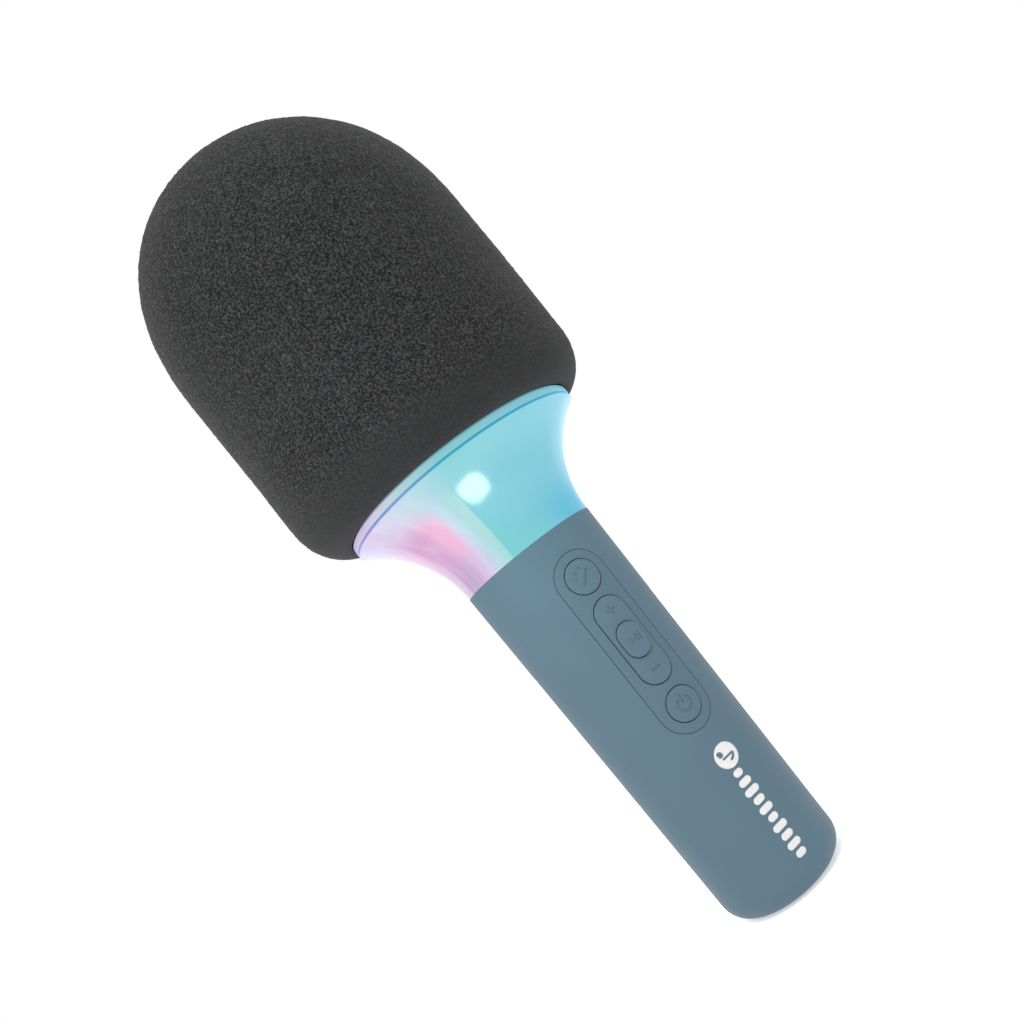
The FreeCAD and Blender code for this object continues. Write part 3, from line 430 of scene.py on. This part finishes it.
def with_poles(grid):
    """Close a grid's first and last rows with a point each: (points, quads, triangles)."""
    rows, around, _ = grid.shape
    points = np.vstack([grid.reshape(-1, 3), grid[0].mean(0)[None], grid[-1].mean(0)[None]])
    column = np.arange(around)
    after = (column + 1) % around
    last = (rows - 1) * around
    first_fan = np.column_stack([np.full(around, rows * around), column, after])
    last_fan = np.column_stack([np.full(around, rows * around + 1), last + after, last + column])
    return points, closed_tube_faces(rows, around), np.vstack([first_fan, last_fan])


print("surface helpers ready")


# %% Soft waves and grain
def waves(points, size, seed, count=9):
    """A smooth field from -1 to 1: the mean of sine waves in random directions."""
    chance = np.random.default_rng(seed)
    heading = chance.normal(size=(count, 3))
    heading /= np.linalg.norm(heading, axis=1)[:, None]
    pace = 2 * math.pi / (size * chance.uniform(0.7, 1.5, count))
    phase = chance.uniform(0, 2 * math.pi, count)
    return np.sin(points @ (heading * pace[:, None]).T + phase).mean(axis=-1) * 1.6


def grid_normals(grid):
    """Outward unit normals of a turned grid, from its differences both ways."""
    along = np.gradient(grid, axis=0)
    around = np.roll(grid, -1, axis=1) - np.roll(grid, 1, axis=1)
    normal = np.cross(along, around)
    size = np.linalg.norm(normal, axis=2, keepdims=True)
    return normal / np.where(size == 0, 1, size)


AROUND = 380
POLE_RADIUS = 0.35 * MM
FADE_HEIGHT = 6 * MM
BROAD_WAVE, SMALL_WAVE, GRAIN = 0.22 * MM, 0.06 * MM, 0.05 * MM
outline = foam_outline()
outline[:, 0] = np.maximum(outline[:, 0], POLE_RADIUS)
skin = turned_grid(outline, AROUND)
outward = grid_normals(skin)
outside_rows = (np.arange(len(outline)) < OUTSIDE_ROWS)[:, None]
lift = waves(skin, 34 * MM, 3) * BROAD_WAVE + waves(skin, 9 * MM, 5) * SMALL_WAVE
grain = np.random.default_rng(11).normal(size=skin.shape[:2]) * GRAIN
free = np.clip((skin[..., 2] - BOTTOM) / FADE_HEIGHT, 0, 1)
skin = skin + outward * ((lift + grain) * free * outside_rows)[..., None]
foam = mesh_piece("foam_skin", *with_poles(skin))
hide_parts("foam_windscreen")
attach(foam, "foam_windscreen")
print("foam triangles:", 2 * (len(outline) - 1) * AROUND)

# %% [markdown]
# ## Foam finish
# Close up, foam is a net of pale struts round dark pores half a millimetre
# across, and here and there a cut strut catches the light. Fine noise gives
# the net, the centres of sparse Voronoi cells give the sparks as painted glints,
# and a little sheen gives the pale bloom of a fuzzy outline. The lip is pressed
# smooth when the cap is moulded, so the net fades out there, and painted light
# from the collar's glow lightens it.

# %% Foam material
foam_finish = Finish("foam_finish", Roughness=0.95, Sheen_Weight=0.055, Sheen_Roughness=0.5)
foam_finish.shader.inputs["Specular IOR Level"].default_value = 0.06
STRUT_DARK = (0.002, 0.002, 0.0022)
STRUT_PALE = (0.052, 0.053, 0.0545)
MEAN_TONE, MEAN_PORE = 0.27, 0.36
_, _, z = foam_finish.place()
net = foam_finish.noise(0.5 * MM, 0.0)
pores = foam_finish.ramp(net, [(0.28, 0.0), (0.46, 0.26), (0.56, 0.52), (0.70, 1.0)])
spark_cells = foam_finish.cells(0.9 * MM)
# Painted glints: sparse bright specks in the colour, where a cut strut catches the light
sparks = foam_finish.ramp(spark_cells, [(0.16, 1.0), (0.32, 0.0)])
chosen = foam_finish.ramp(foam_finish.noise(1.6 * MM, 0.0), [(0.52, 0.0), (0.62, 1.0)])
open_skin_and_lip_glow = foam_finish.node("ShaderNodeMapRange", {"interpolation_type": "SMOOTHSTEP"}, {
    "Value": z, "From Min": BOTTOM + 3 * MM, "From Max": BOTTOM + 15 * MM})
tone = MEAN_TONE + (pores - MEAN_PORE) * (0.15 + open_skin_and_lip_glow * 0.37)
# Painted light: the last term lightens the pressed lip, where the collar's glow falls
tone = tone + sparks * chosen * open_skin_and_lip_glow * 0.55 + (1 - open_skin_and_lip_glow) * 0.10
tone = tone + (foam_finish.noise(14 * MM) - 0.5) * 0.10
foam_finish.feed(
    Base_Color=foam_finish.mix(tone, colour(STRUT_DARK), colour(STRUT_PALE)),
    Normal=foam_finish.bump(net * open_skin_and_lip_glow, 0.25, 0.4 * MM))
foam.data.materials.append(foam_finish.material)
print("foam finish ready")

# %% [markdown]
# ## Soft-touch grip and keys
# The grip is sprayed with a rubbery paint: no clear reflection, a fine powdery
# grain, and painted light: the colour lightens towards the glowing collar. One
# function makes the paint in three close tones, so that bezel and keys stand
# apart a little, as separately sprayed parts do.

# %% Soft-touch paint
GRIP_BLUE = (0.057, 0.104, 0.137)
PAINTED_HEIGHT = 115 * MM


def soft_touch(name, shade, roughness):
    """Blue-grey rubber paint: cloudy tone, powdery grain, painted light towards the collar."""
    paint = Finish(name, Sheen_Weight=0.01, Sheen_Roughness=0.5)
    paint.shader.inputs["Specular IOR Level"].default_value = 0.25
    _, _, z = paint.place()
    cloud = paint.noise(30 * MM, 3.0)
    powder = paint.noise(0.25 * MM, 2.0)
    # Painted light: the colour lightens towards the glowing collar; the foot is a little lighter
    # too
    height = paint.ramp(z / PAINTED_HEIGHT, [(0.0, 0.10), (0.5, 0.0), (0.85, 0.35), (1.0, 0.85)])
    darker = tuple(0.90 * part for part in shade)
    lighter = tuple(1.22 * part for part in shade)
    paint.feed(
        Base_Color=paint.mix(cloud * 0.35 + powder * 0.15 + height * 0.5,
                             colour(darker), colour(lighter)),
        Roughness=powder * 0.12 + roughness,
        Normal=paint.bump(powder, 0.25, 0.05 * MM))
    return paint


wear("handle_shell", soft_touch("grip_paint", GRIP_BLUE, 0.5))
wear("control_panel", soft_touch("bezel_paint", tuple(0.97 * part for part in GRIP_BLUE), 0.52))
key_paint = soft_touch("key_paint", tuple(0.99 * part for part in GRIP_BLUE), 0.46)
for key in ("effects_button", "play_button", "power_button", "volume_rocker"):
    wear(key, key_paint)
print("soft-touch parts painted")

# %% [markdown]
# ## The glowing collar
# Coloured lamps under the collar flood its milky plastic from inside. Each lamp
# owns a stretch of the circle, so the colour is a function of the angle round
# the axis, softened where two washes meet. One sharp edge in the washes is the
# edge of a painted reflection. Emission carries the glow, and the shader's own
# low roughness carries the gloss.


# %% Angle round the axis
def angle_share(finish, x, y, zero):
    """The angle round the axis from a zero direction, as 0 to 1 of a turn."""
    raw = finish.node("ShaderNodeMath", {"operation": "ARCTAN2"}, {0: y, 1: x})
    turned = raw / (2 * math.pi) + (1 - zero / (2 * math.pi))
    return finish.node("ShaderNodeMath", {"operation": "FRACT"}, {0: turned})


# Colours round the collar as (turn from straight ahead of the lens, colour), at three heights
# In belly and neck, the jump between 0.4805 and 0.4835 is the edge of a painted reflection
WASHES_AND_REFLECTION = {
    "lip": [
        (0.00, (0.34, 0.40, 0.78)), (0.12, (0.46, 0.42, 0.76)), (0.25, (0.54, 0.52, 0.74)),
        (0.36, (0.58, 0.48, 0.66)), (0.40, (0.56, 0.56, 0.70)), (0.44, (0.44, 0.60, 0.66)),
        (0.50, (0.24, 0.56, 0.60)), (0.60, (0.23, 0.56, 0.64)), (0.75, (0.22, 0.55, 0.70)),
        (0.88, (0.26, 0.44, 0.74)), (1.00, (0.34, 0.40, 0.78))],
    "belly": [
        (0.00, (0.30, 0.42, 0.78)), (0.14, (0.48, 0.38, 0.72)), (0.25, (0.66, 0.44, 0.64)),
        (0.33, (0.63, 0.42, 0.61)), (0.345, (0.55, 0.31, 0.51)), (0.39, (0.60, 0.33, 0.53)),
        (0.405, (0.71, 0.40, 0.56)), (0.428, (0.73, 0.42, 0.60)), (0.440, (0.50, 0.58, 0.70)),
        (0.452, (0.45, 0.61, 0.70)), (0.460, (0.36, 0.60, 0.60)), (0.4805, (0.36, 0.61, 0.61)),
        (0.4835, (0.19, 0.52, 0.58)), (0.56, (0.20, 0.53, 0.61)), (0.67, (0.20, 0.53, 0.64)),
        (0.683, (0.23, 0.56, 0.68)), (0.75, (0.26, 0.58, 0.74)), (0.88, (0.26, 0.46, 0.74)),
        (1.00, (0.30, 0.42, 0.78))],
    "neck": [
        (0.00, (0.26, 0.40, 0.76)), (0.14, (0.46, 0.40, 0.70)), (0.25, (0.66, 0.56, 0.70)),
        (0.335, (0.60, 0.46, 0.60)), (0.350, (0.43, 0.29, 0.49)), (0.39, (0.45, 0.31, 0.51)),
        (0.41, (0.56, 0.42, 0.62)), (0.435, (0.50, 0.48, 0.62)), (0.455, (0.38, 0.56, 0.62)),
        (0.4805, (0.29, 0.57, 0.55)), (0.4835, (0.165, 0.50, 0.52)), (0.56, (0.17, 0.50, 0.56)),
        (0.64, (0.13, 0.48, 0.64)), (0.683, (0.14, 0.49, 0.66)), (0.76, (0.20, 0.54, 0.72)),
        (0.88, (0.22, 0.44, 0.74)), (1.00, (0.26, 0.40, 0.76))],
}


# The same, for the seam under the lip, then the heights at which the washes and the seam change
SEAM = [(0.00, (0.12, 0.18, 0.62)), (0.25, (0.28, 0.26, 0.62)), (0.42, (0.20, 0.32, 0.62)),
        (0.50, (0.05, 0.42, 0.60)), (0.75, (0.04, 0.42, 0.64)), (1.00, (0.12, 0.18, 0.62))]
NECK_TO_BELLY = (117 * MM, 128 * MM)
BELLY_TO_LIP = (131 * MM, 138 * MM)
SEAM_STARTS = (140.2 * MM, 140.4 * MM)
SEAM_ENDS = (140.95 * MM, 141.15 * MM)
TOP_EDGE = (142.5 * MM, 143.1 * MM)


def between(finish, field, start, end):
    """0 below start, 1 above end, with a smooth step between."""
    return finish.node("ShaderNodeMapRange", {"interpolation_type": "SMOOTHSTEP"}, {
        "Value": field, "From Min": start, "From Max": end})


def glowing(name, brightness, share_of_streaks):
    """Milky plastic lit from inside: washes of colour round the axis, one painted reflection
    edge.
    """
    lit = Finish(name, Roughness=0.15, Emission_Strength=brightness)
    lit.shader.inputs["Specular IOR Level"].default_value = 0.07
    x, y, z = lit.place()
    share = angle_share(lit, x, y, math.atan2(-toward.y, -toward.x))
    drift = (lit.noise(16 * MM, 1.0) - 0.5) * 0.02
    lip, belly, neck = (lit.ramp(share + drift * bend, WASHES_AND_REFLECTION[place])
                        for place, bend in (("lip", 1.5), ("belly", 0.35), ("neck", 0.35)))
    wash_and_reflection = lit.mix(between(lit, z + drift * 0.1, *NECK_TO_BELLY), neck, belly)
    wash_and_reflection = lit.mix(between(lit, z + drift * 0.2, *BELLY_TO_LIP), wash_and_reflection, lip)
    upright = lit.noise(3.0 * MM, 0.0, stretch=(1.0, 1.0, 0.04))
    lines = lit.ramp(upright, [(0.45, 0.0), (0.75, 1.0)])
    seam = between(lit, z, *SEAM_STARTS) * (1 - between(lit, z, *SEAM_ENDS))
    edge = between(lit, z, *TOP_EDGE) * 0.35
    rosy = lit.ramp(share, [(0.27, 0.0), (0.31, 1.0), (0.43, 1.0), (0.46, 0.0)])
    wash_and_reflection = lit.mix(lines * rosy * share_of_streaks, wash_and_reflection, colour((0.80, 0.82, 0.88)))
    bright = lit.mix(seam + edge, wash_and_reflection, lit.ramp(share, SEAM))
    dim = lit.node("ShaderNodeMix", {"data_type": "RGBA", "blend_type": "MULTIPLY"},
                   {"Factor": 1.0, 6: bright, 7: colour(0.4)}, output=2)
    lit.feed(Base_Color=dim, Emission_Color=bright,
             Normal=lit.bump(lit.noise(4 * MM, 1.5), 0.40, 0.14 * MM))
    return lit


wear("light_collar", glowing("collar_glow", 0.5, 0.10))
wear("collar_rim_ring", glowing("rim_glow", 0.5, 0.04))
print("collar lit")

# %% [markdown]
# ## Print on the grip
# The grip carries a small white print: a round badge with a musical note,
# and a row of bars like a sound meter. Pad print is a film of ink that follows
# the curved wall, so each mark is a flattened tube along a path on the
# unrolled wall, wrapped round the taper and lifted by a few hundredths of a
# millimetre.

# %% Flattened tubes on the grip
_, grip_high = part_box("handle_shell")
BASE_RADIUS = 18.8 * MM
NECK_RADIUS = 20.3 * MM
INK_AROUND = 12


def wrap(across_wall, height, lift):
    """(R sin(s/R), -R cos(s/R), z), R being the tapered wall's radius plus a lift."""
    wall = BASE_RADIUS + (NECK_RADIUS - BASE_RADIUS) * height / grip_high.z
    angle = across_wall / wall
    return np.stack([(wall + lift) * np.sin(angle), -(wall + lift) * np.cos(angle), height], -1)


def ink_tube(path, half_width, ink=0.05 * MM, lift=0.01 * MM):
    """Sweep an ellipse half_width by ink along a path of (across, height) points.

    Near each end the width shrinks as w sqrt(1 - t^2), so that the ends are round.
    """
    step = np.gradient(path, axis=0)
    step /= np.linalg.norm(step, axis=1)[:, None]
    side = np.column_stack([-step[:, 1], step[:, 0]])
    along = np.concatenate([[0], np.cumsum(np.hypot(*np.diff(path, axis=0).T))])
    from_end = np.minimum(along, along[-1] - along)
    t = np.clip(1 - from_end / half_width, 0, 0.995)
    width = half_width * np.sqrt(1 - t ** 2)
    angle = np.linspace(0, 2 * math.pi, INK_AROUND, endpoint=False)
    spread = path[:, None] + side[:, None] * (width[:, None] * np.cos(angle))[..., None]
    height = lift + ink * np.sin(angle) * np.ones_like(width)[:, None]
    return with_poles(wrap(spread[..., 0], spread[..., 1], height))


def joined(shells):
    """Put several closed shells into one list of points and faces."""
    points, quads, triangles, first = [], [], [], 0
    for shell in shells:
        points.append(shell[0])
        quads.append(shell[1] + first)
        triangles.append(shell[2] + first)
        first += len(shell[0])
    return np.vstack(points), np.vstack(quads), np.vstack(triangles)


def straight(start, end, count=24):
    """Evenly spaced points from start to end, in millimetres."""
    return np.linspace(start, end, count) * MM


def curved(first, middle, last, count=24):
    """A quadratic curve: (1-t)^2 a + 2t(1-t) b + t^2 c."""
    t = np.linspace(0, 1, count)[:, None]
    a, b, c = (np.array(corner) for corner in (first, middle, last))
    return ((1 - t) ** 2 * a + 2 * t * (1 - t) * b + t ** 2 * c) * MM


# %% Sound meter and badge
METER = [0.62, 0.84, 1.0, 0.76, 0.94, 0.68, 1.0, 0.82, 0.96, 0.70]
METER_TOP, METER_BOTTOM = 36.0, 10.2
METER_HALF_WIDTH = 2.3
BAR_HALF = 1.02 * MM
bar_heights = np.linspace(METER_TOP, METER_BOTTOM, len(METER))
bars = [ink_tube(straight((-level * METER_HALF_WIDTH - 0.2, height),
                          (level * METER_HALF_WIDTH - 0.2, height)), BAR_HALF)
        for level, height in zip(METER, bar_heights)]
BADGE_ACROSS, BADGE_HEIGHT, BADGE_RADIUS = 0.3, 41.3, 3.5
badge = ink_tube(straight((BADGE_ACROSS, BADGE_HEIGHT - BADGE_RADIUS),
                          (BADGE_ACROSS, BADGE_HEIGHT + BADGE_RADIUS), 48), BADGE_RADIUS * MM)
print_row = mesh_piece("printed_marks", *joined(bars + [badge]))
# The note, as (path, half width in mm): its head, its stem and its flag
NOTE_LIFT = 0.06 * MM
NOTE = [(curved((-2.0, 42.6), (-1.2, 42.9), (-1.0, 41.6)), 0.85),
        (straight((-1.4, 41.0), (2.4, 41.0)), 0.28),
        (curved((2.3, 41.0), (1.6, 39.6), (0.4, 39.6)), 0.36)]
note = joined([ink_tube(path, half * MM, lift=NOTE_LIFT) for path, half in NOTE])
print_note = mesh_piece("printed_note", *note)

ink = Finish("white_ink", Roughness=0.42)
INK_TONES = [(0.3, (0.45, 0.44, 0.44)), (0.6, (0.50, 0.49, 0.49))]
ink.feed(Base_Color=ink.ramp(ink.noise(0.5 * MM, 3.0), INK_TONES),
         Normal=ink.bump(ink.noise(0.3 * MM), 0.15, 0.03 * MM))
print_row.data.materials.append(ink.material)
print_note.data.materials.append(soft_touch("blue_ink", GRIP_BLUE, 0.45).material)
for piece, slot in ((print_row, "white_plastic"), (print_note, "soft_grip")):
    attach(piece, "microphone")

# %% [markdown]
# ## Inside parts
# Lifting the foam shows the basket and, behind its bars, the loudspeaker and
# the microphone capsule. The rest of the electronics sits in the grip. Each
# family of material gets one recipe: moulded plastic has a spark-eroded grain,
# metal has fine lines along one axis, paper has fibres, rubber is dull, and
# circuit board is green varnish over copper tracks.


# %% Recipes
def moulded(name, shade, roughness):
    """Plastic with a spark-eroded grain."""
    made = Finish(name)
    grain = made.noise(0.4 * MM, 2.0)
    lighter = tuple(1.12 * part + 0.004 for part in shade)
    made.feed(Base_Color=made.mix(made.noise(8 * MM), colour(shade), colour(lighter)),
              Roughness=grain * 0.15 + (roughness - 0.07),
              Normal=made.bump(grain, 0.2, 0.05 * MM))
    return made


def brushed(name, shade, roughness):
    """Metal with fine lines along one axis."""
    made = Finish(name, Metallic=1.0)
    lines = made.noise(0.25 * MM, 2.0, stretch=(1.0, 1.0, 0.05))
    darker = tuple(0.86 * part for part in shade)
    made.feed(Base_Color=made.mix(lines, colour(darker), colour(shade)),
              Roughness=lines * 0.16 + (roughness - 0.08),
              Normal=made.bump(lines, 0.12, 0.02 * MM))
    return made


def fibrous(name, shade, roughness):
    """Pressed paper: pale and dark fibres on a dull ground."""
    made = Finish(name)
    fibres = made.noise(0.5 * MM, 4.0, 0.7, stretch=(1.0, 0.35, 1.0))
    pale_share = made.ramp(fibres, [(0.4, 0.0), (0.7, 1.0)])
    paler = tuple(2.2 * part for part in shade)
    made.feed(Base_Color=made.mix(pale_share, colour(shade), colour(paler)),
              Roughness=fibres * 0.1 + (roughness - 0.05),
              Normal=made.bump(fibres, 0.35, 0.08 * MM))
    return made


def circuit(name, shade, roughness):
    """Green varnish, a shade paler over the copper tracks."""
    made = Finish(name, Coat_Weight=0.3, Coat_Roughness=0.1)
    edges = made.cells(3.2 * MM, "DISTANCE_TO_EDGE")
    tracks = made.ramp(edges, [(0.06, 1.0), (0.09, 0.0)])
    paler = tuple(1.7 * part + 0.01 for part in shade)
    made.feed(Base_Color=made.mix(tracks, colour(shade), colour(paler)),
              Roughness=made.noise(0.6 * MM) * 0.1 + (roughness - 0.05),
              Normal=made.bump(tracks, 0.3, 0.04 * MM))
    return made


# %% Finishes by slot
RECIPES = {
    "white_plastic": (moulded, (0.76, 0.76, 0.75), 0.45),
    "black_plastic": (moulded, (0.022, 0.022, 0.024), 0.5),
    "basket_plastic": (moulded, (0.026, 0.027, 0.030), 0.48),
    "chip_epoxy": (moulded, (0.014, 0.014, 0.015), 0.55),
    "led_resin": (moulded, (0.86, 0.84, 0.74), 0.25),
    "cell_wrap": (moulded, (0.03, 0.22, 0.34), 0.3),
    "surround_rubber": (moulded, (0.018, 0.018, 0.019), 0.7),
    "boot_rubber": (moulded, (0.035, 0.035, 0.038), 0.75),
    "lead_red": (moulded, (0.45, 0.02, 0.02), 0.4),
    "lead_black": (moulded, (0.02, 0.02, 0.02), 0.4),
    "lead_white": (moulded, (0.72, 0.72, 0.70), 0.4),
    "pressed_steel": (moulded, (0.045, 0.046, 0.05), 0.38),
    "magnet_ferrite": (moulded, (0.09, 0.09, 0.095), 0.42),
    "cone_paper": (fibrous, (0.022, 0.021, 0.020), 0.85),
    "board_laminate": (circuit, (0.012, 0.10, 0.045), 0.35),
    "module_shield": (brushed, (0.66, 0.66, 0.64), 0.32),
    "capacitor_can": (brushed, (0.72, 0.73, 0.75), 0.28),
    "screw_steel": (brushed, (0.50, 0.50, 0.51), 0.34),
    "tab_nickel": (brushed, (0.62, 0.60, 0.56), 0.30),
    "socket_steel": (brushed, (0.60, 0.60, 0.62), 0.28),
    "capsule_metal": (brushed, (0.74, 0.74, 0.74), 0.25),
}
made_finishes = {slot: recipe(slot, shade, roughness)
                 for slot, (recipe, shade, roughness) in RECIPES.items()}
for part in frame["record"]["subparts"]:
    if part["material_slot"] in made_finishes:
        wear(part["node"], made_finishes[part["material_slot"]])
print("inside finishes:", len(made_finishes))
